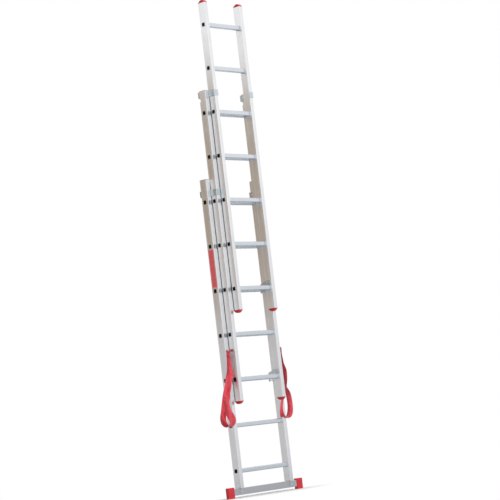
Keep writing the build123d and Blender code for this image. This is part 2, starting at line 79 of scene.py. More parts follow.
# Soft lamps: name, place and side in metres, and power in watts. All face the ladder's middle.
LAMP_TARGET = (0, 0, 1.4)
LAMPS = (
    ("key", (2.0, -7.0, 4.2), 2.5, 520.0),
    ("fill", (-7.0, 0.5, 3.0), 4.0, 70.0),
    ("back", (0.5, 6.0, 5.0), 4.0, 60.0),
    ("top", (-1.2, -1.5, 4.2), 1.0, 16.0),
)
SURROUND_LIGHT = 0.26       # strength of the surround where it lights; where it is seen it is 1

# The floor keeps the shadow in an ellipse round the bar, and turns white between two distances
# from it. All in metres, after the shift and the stretch.
FLOOR_DROP = 0.2 * MM
SHADOW_SHIFT = (0, -0.045, 0)
SHADOW_STRETCH = (0.34, 1, 1)
SHADOW_FADE = (0.1, 0.21)

# Glowing screens that only the metal reflects; they light nothing, and their colours are painted
# reflections of a lit studio: two places on the floor, and colours by height, in metres.
SCREEN_TOP = 4.0
SCREENS = {
    # The side screen's foot is painted paler, as light from the floor.
    "side_screen": ((-7.0, -1.0), (0.5, 7.0), (
        (0, "screen_foot"), (0.3, "screen_low"), (1.38, "screen_low"),
        (1.46, "screen"), (3.45, "screen"), (3.58, "screen_top"))),
    "front_screen": ((5.8, 0.2), (0.0, -5.8), (
        (0, "screen_front"), (1.3, "screen_front"), (2.6, "screen_top"))),
}
CLOTH_HALF = 4
CLOTH_HEIGHT = 1 * MM

# Strap routes, from the loop on the middle stile to the riveted end on the base stile.
# At each point: the place in mm (out from the middle stile's web, depth, height), the way the
# webbing's width points in plan in degrees (0 outwards, 90 to the back), its width in mm, and
# how far it is folded lengthwise, in degrees from edge to edge.
STRAP_WEB = 205.0
STRAP_ROUTES = {
    "left": [
        (8, -7.5, 898.2, 90, 24, 0), (18, -6, 903, 86, 24, 0), (30, -4.5, 901, 80, 24, 0),
        (32, -3, 884, 73, 24, 30), (34, -3, 860, 70, 26, 60), (38, -4, 829, 62, 32, 100),
        (42, -9, 785, 46, 45, 120), (48, -10, 748, 36, 45, 60), (67, -12, 718, 12, 45, -50),
        (84, -14, 690, 18, 45, -100), (95, -16, 660, 28, 45, -90), (104, -18, 630, 34, 45, -20),
        (112, -20, 600, 36, 45, 80), (113, -22, 570, 38, 45, 110), (110, -24, 540, 36, 45, 100),
        (101, -26, 510, 30, 45, 40), (85, -27, 485, 20, 45, -30), (76, -18, 458, 8, 45, -20),
        (82, 4, 437, 4, 45, 0), (95, 24, 446, 6, 45, 0), (104, 34, 468, 10, 45, 20),
        (103, 37, 497, 14, 45, 50), (94, 36, 530, 16, 45, 80), (85, 33, 563, 16, 45, 60),
        (71, 30, 600, 20, 45, 20), (58, 27, 640, 26, 45, 0), (47, 19, 680, 24, 45, 0),
        (36, 13, 722, 10, 40, 0), (21, 12.2, 744.8, 0, 24, 0),
    ],
    "right": [
        (8, -7.5, 898, 90, 24, 0), (18, -6.5, 903, 85, 24, 0), (29, -6, 899, 70, 24, 20),
        (27, -6, 866.5, 56, 30, 40), (30.5, -5, 834.5, 52, 40, 60), (34.5, -1, 796, 60, 45, 70),
        (52, 8, 761, 85, 45, 70), (61, 18, 726, 88, 45, 60), (69, 28, 691, 82, 45, 40),
        (77, 37, 656.5, 58, 45, 10), (92, 43, 627.5, 84, 45, 60), (108, 49, 595, 104, 45, 95),
        (118, 54, 560, 114, 45, 105), (122, 57, 521.5, 118, 45, 105), (112, 56, 486, 116, 45, 80),
        (78, 45, 456, 100, 45, 40), (27, 24, 452, 92, 40, 10), (-7, 12, 470, 120, 30, 20),
        (-14, 8, 503, 156, 22, 40), (-8, 8.5, 538, 174, 20, 50), (6, 9.5, 566, 180, 20, 50),
        (11.5, 10.5, 605, 180, 18, 40), (12, 11, 655, 180, 18, 30), (16, 11, 700, 180, 20, 0),
        (20, 12.2, 744.8, 180, 24, 0),
    ],
}
STRAP_STEP = 4 * MM         # between points along a strap
STRAP_AHEAD = 20            # points searched for the nearest one
STRAP_SMOOTHING = 12        # rounds of smoothing from station to station

# Section of the webbing: parts across, sharpness of its lengthwise fold, and its rounded edge.
RIBBON_PARTS = 12
RIBBON_CREASE = 2.2
EDGE_BULGE = 0.3            # edge beyond the width, as a share of the thickness
EDGE_LAYER = 0.72           # thickness at the edge, as a share of the full one

# Fold at the loop: the strap points that it lies on, and its way over the loop's bar in mm, out
# from the loop and up from the bar's middle.
FOLD_POINTS = range(14, 1, -2)
FOLD_OVER = ((1.5, 7.0), (-6.2, 7.0), (-6.2, -6), (-3, -7))
FOLD_STEP = 2.5 * MM        # between points along the fold
FOLD_NARROWER = 1.5 * MM    # than the strap under it
FOLD_LIFT = 1.2             # off the strap's middle, in thicknesses
FOLD_SEWN = (3 * MM, 30 * MM)   # from and to, along the fold
FOLD_SEAMS = (-0.34, 0.34)  # from the middle, as shares of the width
FOLD_FACE = 10              # strap point whose face the seams lie on

# Riveted end: its width and step, the length in which it comes to the middle of its place, and in
# mm the points of its way to the stile's face, its seams from its middle, and their stitches.
END_WIDTH = 24 * MM
END_STEP = 2 * MM
END_TURN = 10 * MM
END_LEAVES = (1.4, 4)       # back and up from the strap's last point
END_ON_FACE = (8, 14)       # up from the strap's last point
END_SEAMS = (-9.5, 9.5)
END_STITCHES = range(8, 37, 4)
SEAM_LIFT = 0.6             # of a seam off the webbing's middle, in thicknesses
STITCH_HALF = 0.42          # half a stitch, as a share of the pitch

# Rivets: the numbers that each seed point holds, and the shank's radius as a share of the head's.
RIVET_VALUES = ("head", "shank", "reach", "turn_x", "turn_y")
RIVET_SHANK = 0.52
RIVET_SHANK_MOST = 2.4 * MM


class LadderSizes(bpy.types.PropertyGroup):
    """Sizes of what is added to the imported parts"""

    webbing_width: FloatProperty(
        name="Webbing width", description="Width of the straps",
        default=45 * MM, min=10 * MM, max=45 * MM, unit="LENGTH")
    webbing_thickness: FloatProperty(
        name="Webbing thickness", description="Thickness of the straps",
        default=1.8 * MM, min=0.8 * MM, max=2.5 * MM, unit="LENGTH")
    stitch_pitch: FloatProperty(
        name="Stitch pitch", description="Distance from stitch to stitch",
        default=4 * MM, min=2 * MM, max=8 * MM, unit="LENGTH")
    thread_radius: FloatProperty(
        name="Thread radius", description="Half the thickness of the sewing thread",
        default=0.5 * MM, min=0.2 * MM, max=1 * MM, unit="LENGTH")
    rivet_dome: FloatProperty(
        name="Rivet dome", description="Height of a rivet head, as a share of its radius",
        default=0.37, min=0.2, max=0.6, subtype="FACTOR")
    floor_size: FloatProperty(
        name="Floor size", description="Side of the studio floor",
        default=60.0, min=10.0, max=200.0, unit="LENGTH")


class LadderColours(bpy.types.PropertyGroup):
    """Colours of the finishes, as sRGB hex values"""

    stile: StringProperty(
        name="Stiles", description="Mill-finish aluminium of the stiles", default="#F1F2F4")
    rung: StringProperty(
        name="Rungs", description="Mill-finish aluminium of the rungs", default="#DADFE5")
    bar: StringProperty(
        name="Stabiliser bar", description="Anodised aluminium of the bar", default="#C8C9CC")
    zinc: StringProperty(
        name="Brackets", description="Zinc plate on guides, hooks and catches", default="#D0DBE2")
    steel: StringProperty(
        name="Rivets and bolts", description="Plain steel of the fasteners", default="#DFE2E5")
    red_plastic: StringProperty(
        name="Red plastic", description="Caps, shoes and plugs", default="#C3242F")
    grey_plastic: StringProperty(
        name="Grey plastic", description="Plugs of the base stiles", default="#4C4D50")
    scuff: StringProperty(
        name="Scuffs", description="Pale scuffs on the plastic", default="#DDD5D2")
    webbing: StringProperty(
        name="Webbing", description="Straps and their sewn ends", default="#DB4653")
    thread: StringProperty(
        name="Thread", description="Sewing thread of the straps", default="#E4A9AC")
    label: StringProperty(
        name="Label", description="Film on the base stile", default="#EE5F67")
    label_edge: StringProperty(
        name="Label edge", description="Line along the edge of the film", default="#EFE2DF")
    floor: StringProperty(
        name="Floor", description="Studio floor", default="#F4F4F4")
    screen: StringProperty(
        name="Side screen", description="Warm grey that the stiles reflect", default="#AB9A88")
    screen_low: StringProperty(
        name="Lower screen", description="Pale grey part of the side screen", default="#CDCBCA")
    screen_front: StringProperty(
        name="Front screen", description="Lower part of the screen in front", default="#EAEBED")
    screen_top: StringProperty(
        name="Upper screen", description="Upper part of both screens", default="#FFFFFF")
    floor_cloth: StringProperty(
        name="Floor cloth", description="Grey cloth that the rungs reflect", default="#C2C5C9")
    screen_foot: StringProperty(
        name="Screen foot", description="Where the floor lights the screen", default="#DAD0C7")


def sizes():
    """The sizes set in the scene."""
    return bpy.context.scene.ladder_sizes


def linear(hex_colour):
    """An sRGB hex value as linear red, green, blue and alpha."""
    parts = [int(hex_colour[i:i + 2], 16) / 255 for i in (1, 3, 5)]
    return [c / 12.92 if c <= 0.04045 else ((c + 0.055) / 1.055) ** 2.4 for c in parts] + [1.0]


def colour(name, share=1.0):
    """A colour set in the scene, made darker or lighter by a share."""
    value = linear(getattr(bpy.context.scene.ladder_colours, name))
    return [min(1.0, c * share) for c in value[:3]] + [1.0]


def socket(value):
    """A node stands for its first output; anything else is itself."""
    return value.outputs[0] if isinstance(value, bpy.types.Node) else value


def node(tree, kind, inputs=None, **settings):
    """Adds a node with its settings, and sets its inputs or links them from nodes and sockets."""
    made = tree.nodes.new(kind)
    for key, value in settings.items():
        setattr(made, key, value)
    for key, value in (inputs or {}).items():
        value = socket(value)
        if isinstance(value, bpy.types.NodeSocket):
            tree.links.new(value, made.inputs[key])
        else:
            made.inputs[key].default_value = value
    return made


def link_object(name, mesh):
    """A new object at the origin with that mesh."""
    made = bpy.data.objects.new(name, mesh)
    bpy.context.scene.collection.objects.link(made)
    return made


def square(half, height):
    """Corners of a level square round the origin."""
    return [(x * half, y * half, height) for x, y in ((-1, -1), (1, -1), (1, 1), (-1, 1))]


def mesh_from(name, points, faces):
    """A smooth mesh with its normals turned outwards."""
    mesh = bpy.data.meshes.new(name)
    mesh.from_pydata([tuple(p) for p in points], [], faces)
    work = bmesh.new()
    work.from_mesh(mesh)
    bmesh.ops.recalc_face_normals(work, faces=work.faces)
    work.to_mesh(mesh)
    work.free()
    for face in mesh.polygons:
        face.use_smooth = True
    return mesh


# Materials

def new_material(name, shader):
    """A node material with those values on its shader; returns it and its tree."""
    made = bpy.data.materials.new(name)
    made.use_nodes = True
    tree = made.node_tree
    for key, value in shader.items():
        tree.nodes["Principled BSDF"].inputs[key].default_value = value
    return made, tree


def connect(material, **patterns):
    """Links patterns to a material's shader, and returns the material."""
    tree = material.node_tree
    keys = {"base": "Base Color", "rough": "Roughness", "normal": "Normal"}
    for name, pattern in patterns.items():
        tree.links.new(socket(pattern), tree.nodes["Principled BSDF"].inputs[keys[name]])
    return material


def surface_noise(tree, place, cell, detail):
    """Noise with cells of that size in mm, one size for each axis."""
    scale = [1 / (c * MM) for c in cell]
    scaled = node(tree, "ShaderNodeMapping", {"Vector": place, "Scale": scale})
    return node(tree, "ShaderNodeTexNoise", {
        "Vector": scaled, "Scale": 1.0, "Detail": detail}).outputs["Fac"]


def graded(tree, pattern, low, high, most, first, second):
    """A colour that turns from the first towards the second where a pattern rises."""
    share = node(tree, "ShaderNodeMapRange", {0: pattern, 1: low, 2: high, 3: 0, 4: most})
    return node(tree, "ShaderNodeMix", {
        0: share, 6: first, 7: second}, data_type="RGBA").outputs[2]


def extruded_aluminium(name, tint, along, roughness, drawn=0.0, rubbed=None):
    """Aluminium as it leaves the extrusion die: fine lines along its length, a cloudy oxide skin.
    Where a section slides inside the next, its web has a dark strip beside the other stile: partly
    rubbing, partly painted shade of the gap between them."""
    made, tree = new_material(name, {"Metallic": 1.0, "Anisotropic": drawn})
    place = node(tree, "ShaderNodeTexCoord").outputs["Object"]
    # Die lines are about 0.3 mm apart; they are drawn 2.5 mm apart so that they show.
    line_cell = [2.5, 2.5, 2.5]
    line_cell[along] = 900.0
    lines = surface_noise(tree, place, line_cell, 3.0)
    # Clouds in the skin are about 90 mm across, scuffs 14 mm wide and 60 mm long.
    skin = surface_noise(tree, place, (90, 90, 90), 3.0)
    scuff_cell = [14.0, 14.0, 14.0]
    scuff_cell[along] = 60.0
    scuffs = surface_noise(tree, place, scuff_cell, 5.0)
    streaked = graded(tree, lines, 0.3, 0.7, 1, colour(tint, 0.97), colour(tint, 1.02))
    base = graded(tree, skin, 0.35, 0.7, 0.5, streaked, colour(tint, 0.93))
    # Painted shade, partly rubbing: a near-black strip on the rear of the web, where the gap beside
    # the next stile falls into shade.
    if rubbed:
        base = rub_and_gap_shade(tree, place, base, colour(tint, 0.14), *rubbed)
    sheen = node(tree, "ShaderNodeMapRange", {
        0: lines, 1: 0.3, 2: 0.7, 3: roughness - 0.02, 4: roughness + 0.02})
    dulled = node(tree, "ShaderNodeMapRange", {0: scuffs, 1: 0.52, 2: 0.7, 3: 0, 4: 0.09})
    rough = node(tree, "ShaderNodeMath", {0: sheen, 1: dulled}, operation="ADD")
    bump = node(tree, "ShaderNodeBump", {"Height": lines, "Strength": 0.1, "Distance": 0.1 * MM})
    return connect(made, base=base, rough=rough, normal=bump)


def rub_and_gap_shade(tree, place, base, dark, web, rear, top):
    """Darkens the rear strip of both webs, fading out above the stile beside it: partly rubbing,
    partly painted shade of the gap between the stiles.
    """
    x, y, z = node(tree, "ShaderNodeSeparateXYZ", {0: place}).outputs
    out = node(tree, "ShaderNodeMath", {0: x}, operation="ABSOLUTE")
    # The strip is 10 mm wide with a soft edge, and lies on the outer 1 mm of the stile.
    edges = (
        (out, web - 1.5 * MM, web - 1 * MM, 0, 1),
        (y, rear - 13 * MM, rear - 10 * MM, 0, 1),
        (z, top - 60 * MM, top + 5 * MM, 0.8, 0))
    rub_and_shade_mask = None
    for edge in edges:
        share = node(tree, "ShaderNodeMapRange", dict(enumerate(edge)))
        rub_and_shade_mask = share if rub_and_shade_mask is None else node(
            tree, "ShaderNodeMath", {0: rub_and_shade_mask, 1: share}, operation="MULTIPLY")
    return node(tree, "ShaderNodeMix", {0: rub_and_shade_mask, 6: base, 7: dark}, data_type="RGBA").outputs[2]


def zinc_plated_steel(name, tint, roughness):
    """Pressed steel with a thin zinc plate: a soft mottled grey sheen, duller in patches."""
    made, tree = new_material(name, {"Metallic": 1.0})
    place = node(tree, "ShaderNodeTexCoord").outputs["Object"]
    # The plate's patches are 1 to 3 mm across; they are drawn 5 mm across so that they show.
    patches = node(tree, "ShaderNodeTexVoronoi", {"Vector": place, "Scale": 1 / (5 * MM)})
    patch = node(tree, "ShaderNodeSeparateColor", {0: patches.outputs["Color"]})
    # Dull places are about 22 mm across.
    dull = surface_noise(tree, place, (22, 22, 22), 4.0)
    mottled = node(tree, "ShaderNodeMix", {
        0: patch, 6: colour(tint, 0.9), 7: colour(tint, 1.04)}, data_type="RGBA").outputs[2]
    worn = graded(tree, dull, 0.45, 0.75, 0.55, mottled, colour(tint, 0.74))
    rough = node(tree, "ShaderNodeMapRange", {
        0: dull, 1: 0.3, 2: 0.75, 3: roughness - 0.08, 4: roughness + 0.16})
    bump = node(tree, "ShaderNodeBump", {"Height": dull, "Strength": 0.2, "Distance": 0.2 * MM})
    return connect(made, base=worn, rough=rough, normal=bump)


def moulded_polypropylene(name, tint, roughness):
    """Injection-moulded polypropylene: a fine spark grain, slightly faded and scuffed in places."""
    made, tree = new_material(name, {"Metallic": 0.0, "IOR": 1.49})
    place = node(tree, "ShaderNodeTexCoord").outputs["Object"]
    # The mould's spark grain is about 0.3 mm; it is drawn at 0.9 mm so that it shows.
    grain = surface_noise(tree, place, (0.9, 0.9, 0.9), 1.0)
    # Faded places are about 35 mm across; scuffs are pale, a few mm wide and longest upright.
    fade = surface_noise(tree, place, (35, 35, 35), 3.0)
    scuffs = surface_noise(tree, place, (3, 9, 14), 4.0)
    faded = graded(tree, fade, 0.3, 0.7, 1, colour(tint, 0.88), colour(tint, 1.08))
    scuffed = graded(tree, scuffs, 0.64, 0.78, 0.14, faded, colour("scuff"))
    rough = node(tree, "ShaderNodeMapRange", {
        0: scuffs, 1: 0.4, 2: 0.75, 3: roughness, 4: roughness + 0.18})
    bump = node(tree, "ShaderNodeBump", {"Height": grain, "Strength": 0.35, "Distance": 0.12 * MM})
    return connect(made, base=scuffed, rough=rough, normal=bump)


def woven_polyester(name, tint):
    """Polyester webbing: ribs of warp crossed by slanting weft, a soft sheen, faded and creased."""
    made, tree = new_material(
        name, {"Metallic": 0.0, "Sheen Weight": 0.25, "Sheen Roughness": 0.4})
    flat = node(tree, "ShaderNodeUVMap", uv_map="webbing")
    across, length = node(tree, "ShaderNodeSeparateXYZ", {0: flat}).outputs[:2]
    # Warp ribs are 1.9 mm apart and weft 2.4 mm, both as on wide webbing. The map is in metres.
    # From rib to rib the weft is shifted by half its step.
    ribs, rows = (
        node(tree, "ShaderNodeMath", {
            0: way, 1: 2 * math.pi / (apart * MM)}, operation="MULTIPLY")
        for way, apart in ((across, 1.9), (length, 2.4)))
    shift = node(tree, "ShaderNodeMath", {0: ribs, 1: 0.5}, operation="MULTIPLY")
    shifted = node(tree, "ShaderNodeMath", {0: rows, 1: shift}, operation="ADD")
    warp, weft = (
        node(tree, "ShaderNodeMath", {0: turns}, operation="COSINE") for turns in (ribs, shifted))
    weave = node(tree, "ShaderNodeMath", {0: warp, 1: weft}, operation="MULTIPLY")
    # Faded places are about 30 mm across.
    fade = node(tree, "ShaderNodeTexNoise", {
        "Vector": flat, "Scale": 1 / (30 * MM), "Detail": 4.0}).outputs["Fac"]
    threads = graded(tree, weave, -1, 1, 1, colour(tint, 0.72), colour(tint, 1.1))
    worn = graded(tree, fade, 0.4, 0.75, 0.35, threads, colour(tint, 1.3))
    rough = node(tree, "ShaderNodeMapRange", {0: weave, 1: -1, 2: 1, 3: 0.86, 4: 0.68})
    # Creases from being folded up in use, about 20 mm across and 35 mm along the strap.
    crumple = surface_noise(tree, flat, (20, 35, 1000), 1.5)
    dents = node(tree, "ShaderNodeBump", {"Height": crumple, "Strength": 1.0, "Distance": 14 * MM})
    bump = node(tree, "ShaderNodeBump", {
        "Height": weave, "Strength": 0.6, "Distance": 0.35 * MM, "Normal": dents})
    return connect(made, base=worn, rough=rough, normal=bump)


def sewing_thread(name, tint):
    """Bonded polyester thread: pale, slightly glossy, with its twist as fine specks."""
    made, tree = new_material(name, {"Metallic": 0.0, "Roughness": 0.5})
    place = node(tree, "ShaderNodeTexCoord").outputs["Object"]
    # The strands of the thread are about 0.5 mm long.
    strands = surface_noise(tree, place, (0.5, 0.5, 0.5), 1.0)
    twisted = node(tree, "ShaderNodeMix", {
        0: strands, 6: colour(tint, 0.8), 7: colour(tint, 1.1)}, data_type="RGBA").outputs[2]
    return connect(made, base=twisted)


def printed_film(name, tint, edge_tint, low, high):
    """Vinyl film under a clear coat: an even, lightly rubbed red with a pale line near its edge."""
    made, tree = new_material(
        name, {"Metallic": 0.0, "Roughness": 0.32, "Coat Weight": 0.3, "Coat Roughness": 0.2})
    middle, half = (low + high) / 2, (high - low) / 2
    place = node(tree, "ShaderNodeTexCoord").outputs["Object"]
    centred = node(tree, "ShaderNodeMapping", {"Vector": place, "Location": -middle})
    parts = node(tree, "ShaderNodeSeparateXYZ", {0: centred})
    insets = []
    for axis in (1, 2):
        away = node(tree, "ShaderNodeMath", {0: parts.outputs[axis]}, operation="ABSOLUTE")
        insets.append(node(tree, "ShaderNodeMath", {
            0: half[axis], 1: away}, operation="SUBTRACT"))
    inset = node(tree, "ShaderNodeMath", {0: insets[0], 1: insets[1]}, operation="MINIMUM")
    # The line is 1.4 mm wide, 3.5 mm from the edge; rubbed places are 9 mm wide and 30 mm long.
    line = node(tree, "ShaderNodeMath", {0: inset, 1: 3.5 * MM, 2: 0.7 * MM}, operation="COMPARE")
    rub = surface_noise(tree, place, (9, 9, 30), 4.0)
    rubbed = graded(tree, rub, 0.5, 0.75, 0.35, colour(tint), colour(tint, 1.35))
    lined = node(tree, "ShaderNodeMix", {
        0: line, 6: rubbed, 7: colour(edge_tint)}, data_type="RGBA").outputs[2]
    return connect(made, base=lined)


def pair(*parts):
    """Names of the left and right nodes of parts that come in pairs."""
    return [f"{part}_{side}" for part in parts for side in SIDES]


def finish_nodes(material, *names):
    """Gives CAD nodes a finish."""
    for name in names:
        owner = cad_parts[name]
        if not owner.material_slots:
            owner.data.materials.append(material)
        for place in owner.material_slots:
            place.material = material


# Geometry Nodes

def geometry_tree(name, inputs):
    """A tree with a geometry input, the named number inputs, and a geometry output."""
    tree = bpy.data.node_groups.new(name, "GeometryNodeTree")
    tree.interface.new_socket("Geometry", in_out="INPUT", socket_type="NodeSocketGeometry")
    for label, default in inputs.items():
        made = tree.interface.new_socket(label, in_out="INPUT", socket_type="NodeSocketFloat")
        made.default_value = default
    tree.interface.new_socket("Geometry", in_out="OUTPUT", socket_type="NodeSocketGeometry")
    return tree, node(tree, "NodeGroupInput").outputs, node(tree, "NodeGroupOutput").inputs


def grow(name, seed, tree, values):
    """Runs a tree on a seed mesh and keeps the result as a piece with a plain mesh."""
    carrier = link_object(name + "_seed", seed)
    modifier = carrier.modifiers.new("grow", "NODES")
    modifier.node_group = tree
    for item in tree.interface.items_tree:
        if item.item_type == "SOCKET" and item.in_out == "INPUT" and item.name in values:
            modifier[item.identifier] = values[item.name]
    graph = bpy.context.evaluated_depsgraph_get()
    mesh = bpy.data.meshes.new_from_object(carrier.evaluated_get(graph))
    bpy.data.objects.remove(carrier)
    mesh.name = name
    if not mesh.polygons:
        raise RuntimeError(f"{name} came out empty")
    return link_object(name, mesh)


def seed_points(name, points, values):
    """A mesh of loose points, with numbers kept on each point."""
    mesh = bpy.data.meshes.new(name)
    mesh.from_pydata([tuple(p) for p in points], [], [])
    for label, numbers in values.items():
        mesh.attributes.new(label, "FLOAT", "POINT").data.foreach_set("value", numbers)
    return mesh


def finish_tree(tree, whole, material, result):
    """Ends a tree: a real, smooth mesh with its material."""
    real = node(tree, "GeometryNodeRealizeInstances", {0: whole})
    smooth = node(tree, "GeometryNodeSetShadeSmooth", {"Geometry": real})
    made = node(tree, "GeometryNodeSetMaterial", {"Geometry": smooth, "Material": material})
    tree.links.new(made.outputs[0], result["Geometry"])


def rivet_tree(material):
    """Domed rivets: on each seed point a head, its broken-off mandrel and the shank behind it."""
    tree, given, result = geometry_tree("rivets", {"Dome": 0.37, "Mandrel": 0.3})
    radius, shank, reach, turn_x, turn_y = (
        node(tree, "GeometryNodeInputNamedAttribute", {"Name": name}).outputs["Attribute"]
        for name in RIVET_VALUES)
    turned = node(tree, "ShaderNodeCombineXYZ", {0: turn_x, 1: turn_y})
    ball = node(tree, "GeometryNodeMeshUVSphere", {"Segments": 20, "Rings": 10, "Radius": 1.0})
    flat = node(tree, "ShaderNodeCombineXYZ", {0: 1.0, 1: 1.0, 2: given["Dome"]})
    dome = node(tree, "GeometryNodeTransform", {"Geometry": ball, "Scale": flat})
    pin = node(tree, "GeometryNodeMeshCone", {
        "Vertices": 12, "Radius Top": 0.8, "Radius Bottom": 1.0, "Depth": 1.1})
    pin_size = node(tree, "ShaderNodeCombineXYZ", {
        0: given["Mandrel"], 1: given["Mandrel"], 2: given["Dome"]})
    mandrel = node(tree, "GeometryNodeTransform", {"Geometry": pin, "Scale": pin_size})
    head = node(tree, "GeometryNodeJoinGeometry", {0: dome})
    tree.links.new(mandrel.outputs[0], head.inputs[0])
    heads = node(tree, "GeometryNodeInstanceOnPoints", {
        "Points": given["Geometry"], "Instance": head, "Rotation": turned, "Scale": radius})
    rod = node(tree, "GeometryNodeMeshCylinder", {"Vertices": 16, "Radius": 1.0, "Depth": 1.0})
    behind = node(tree, "GeometryNodeTransform", {"Geometry": rod, "Translation": (0, 0, -0.5)})
    rod_size = node(tree, "ShaderNodeCombineXYZ", {0: shank, 1: shank, 2: reach})
    rods = node(tree, "GeometryNodeInstanceOnPoints", {
        "Points": given["Geometry"], "Instance": behind, "Rotation": turned, "Scale": rod_size})
    both = node(tree, "GeometryNodeJoinGeometry", {0: heads})
    tree.links.new(rods.outputs[0], both.inputs[0])
    finish_tree(tree, both, material, result)
    return tree


def stitch_tree(material):
    """Rows of stitches: one short thread after another along each seed line."""
    tree, given, result = geometry_tree("stitches", {"Pitch": 4 * MM, "Radius": 0.5 * MM})
    lines = node(tree, "GeometryNodeMeshToCurve", {"Mesh": given["Geometry"]})
    even = node(tree, "GeometryNodeResampleCurve", {
        "Curve": lines, "Length": given["Pitch"]}, mode="LENGTH")
    tangent = node(tree, "GeometryNodeInputTangent")
    turned = node(tree, "FunctionNodeAlignEulerToVector", {"Vector": tangent}, axis="Z")
    half = node(tree, "ShaderNodeMath", {0: given["Pitch"], 1: STITCH_HALF}, operation="MULTIPLY")
    bead = node(tree, "GeometryNodeMeshUVSphere", {"Segments": 6, "Rings": 5, "Radius": 1.0})
    bead_size = node(tree, "ShaderNodeCombineXYZ", {
        0: given["Radius"], 1: given["Radius"], 2: half})
    thread = node(tree, "GeometryNodeTransform", {"Geometry": bead, "Scale": bead_size})
    row = node(tree, "GeometryNodeInstanceOnPoints", {
        "Points": even, "Instance": thread, "Rotation": turned})
    finish_tree(tree, row, material, result)
    return tree


# Webbing

def spline_points(points):
    """Points along the NURBS spline that has the given points as control points."""
    data = bpy.data.curves.new("route", "CURVE")
    data.dimensions = "3D"
    spline = data.splines.new("NURBS")
    spline.points.add(len(points) - 1)
    for control, place in zip(spline.points, points):
        control.co = (*place, 1.0)
    spline.order_u = 3
    spline.use_endpoint_u = True
    spline.resolution_u = 16
    carrier = link_object("route", data)
    mesh = bpy.data.meshes.new_from_object(carrier)
    line = [v.co.copy() for v in mesh.vertices]
    bpy.data.objects.remove(carrier)
    bpy.data.curves.remove(data)
    bpy.data.meshes.remove(mesh)
    return line


def evenly(line, step):
    """The line with its points an even step apart, and the distance of each from the start."""
    reached = [0.0]
    for a, b in zip(line, line[1:]):
        reached.append(reached[-1] + (b - a).length)
    count = max(2, round(reached[-1] / step))
    marks, points, i = [reached[-1] * k / count for k in range(count + 1)], [], 0
    for mark in marks:
        while i < len(line) - 2 and reached[i + 1] < mark:
            i += 1
        span = max(reached[i + 1] - reached[i], TINY)
        points.append(line[i].lerp(line[i + 1], (mark - reached[i]) / span))
    return points, marks


def shares_beside(route, points):
    """How far along a line each point of its route lies, as a share of the line's points."""
    made, start = [], 0
    for place in route:
        window = range(start, min(len(points), start + STRAP_AHEAD))
        start = min(window, key=lambda i: (points[i] - place).length)
        made.append(start / (len(points) - 1))
    made[-1] = 1.0
    return made


def even_values(shares, values, count):
    """Values given at some shares of a line, spread over all its points and smoothed."""
    made = []
    for k in range(count):
        share = k / (count - 1)
        i = max(n for n in range(len(shares) - 1) if n == 0 or shares[n] <= share)
        part = min(1.0, (share - shares[i]) / max(shares[i + 1] - shares[i], TINY))
        made.append(values[i] + (values[i + 1] - values[i]) * part)
    for _ in range(STRAP_SMOOTHING):
        inner = [(a + 2 * b + c) / 4 for a, b, c in zip(made, made[1:], made[2:])]
        made = made[:1] + inner + made[-1:]
    return made


def directions(points):
    """The unit direction of a line at each of its points."""
    ends = [points[0]] + points + [points[-1]]
    return [(ends[i + 2] - ends[i]).normalized() for i in range(len(points))]


def ribbon(name, points, across, widths, thickness, material, folds=None):
    """A flat strap along a line, with its width's direction and size and its fold at each point."""
    verts, flat, reached = [], [], 0.0
    tangents = directions(points)
    shares = [k / RIBBON_PARTS * 2 - 1 for k in range(RIBBON_PARTS + 1)]
    edge = EDGE_BULGE * thickness
    for i, place in enumerate(points):
        side = across[i]
        up = tangents[i].cross(side).normalized()
        bend = math.radians(folds[i]) / 2 if folds else 0.0
        half = widths[i] / 2
        if i:
            reached += (place - points[i - 1]).length
        # The section is drawn from edge to edge with its length kept, and then centred on the line.
        turns = [bend * math.tanh(RIBBON_CREASE * u) / math.tanh(RIBBON_CREASE) for u in shares]
        section = [Vector((0.0, 0.0))]
        for a, b in zip(turns, turns[1:]):
            way = (a + b) / 2
            part = Vector((math.cos(way), math.sin(way))) * (2 * half / RIBBON_PARTS)
            section.append(section[-1] + part)
        middle = Vector((
            section[RIBBON_PARTS // 2].x, sum(c.y for c in section) / len(section)))
        section = [c - middle for c in section]
        first, last = (Vector((math.cos(a), math.sin(a))) * edge for a in (turns[0], turns[-1]))
        ring = [(c, turn, 0.5, u) for c, turn, u in zip(section, turns, shares)]
        ring.append((section[-1] + last, 0, 0, 1))
        ring += [(c, turn, -0.5, u) for c, turn, u in reversed(list(zip(section, turns, shares)))]
        ring.append((section[0] - first, 0, 0, -1))
        for spot, turn, layer, u in ring:
            layer *= thickness * (EDGE_LAYER if abs(u) == 1 else 1.0)
            out = side * (spot.x - math.sin(turn) * layer)
            verts.append(place + out + up * (spot.y + math.cos(turn) * layer))
            flat.append(((u + 1) * half, reached))
    count, rows = len(verts) // len(points), len(points)
    faces = [tuple(range(count)), tuple(range((rows - 1) * count, rows * count))]
    for i in range(rows - 1):
        for k in range(count):
            m = (k + 1) % count
            faces.append((i * count + k, i * count + m, (i + 1) * count + m, (i + 1) * count + k))
    mesh = mesh_from(name, verts, faces)
    layer = mesh.uv_layers.new(name="webbing")
    for loop in mesh.loops:
        layer.data[loop.index].uv = flat[loop.vertex_index]
    mesh.materials.append(material)
    return link_object(name, mesh)


def plan_across(points, azimuths, side):
    """Width directions along a line, from the way each points in plan."""
    made = []
    for along, azimuth in zip(directions(points), azimuths):
        turn = math.radians(azimuth)
        flat = Vector((side * math.cos(turn), math.sin(turn), 0))
        made.append((flat - along * along.dot(flat)).normalized())
    return made


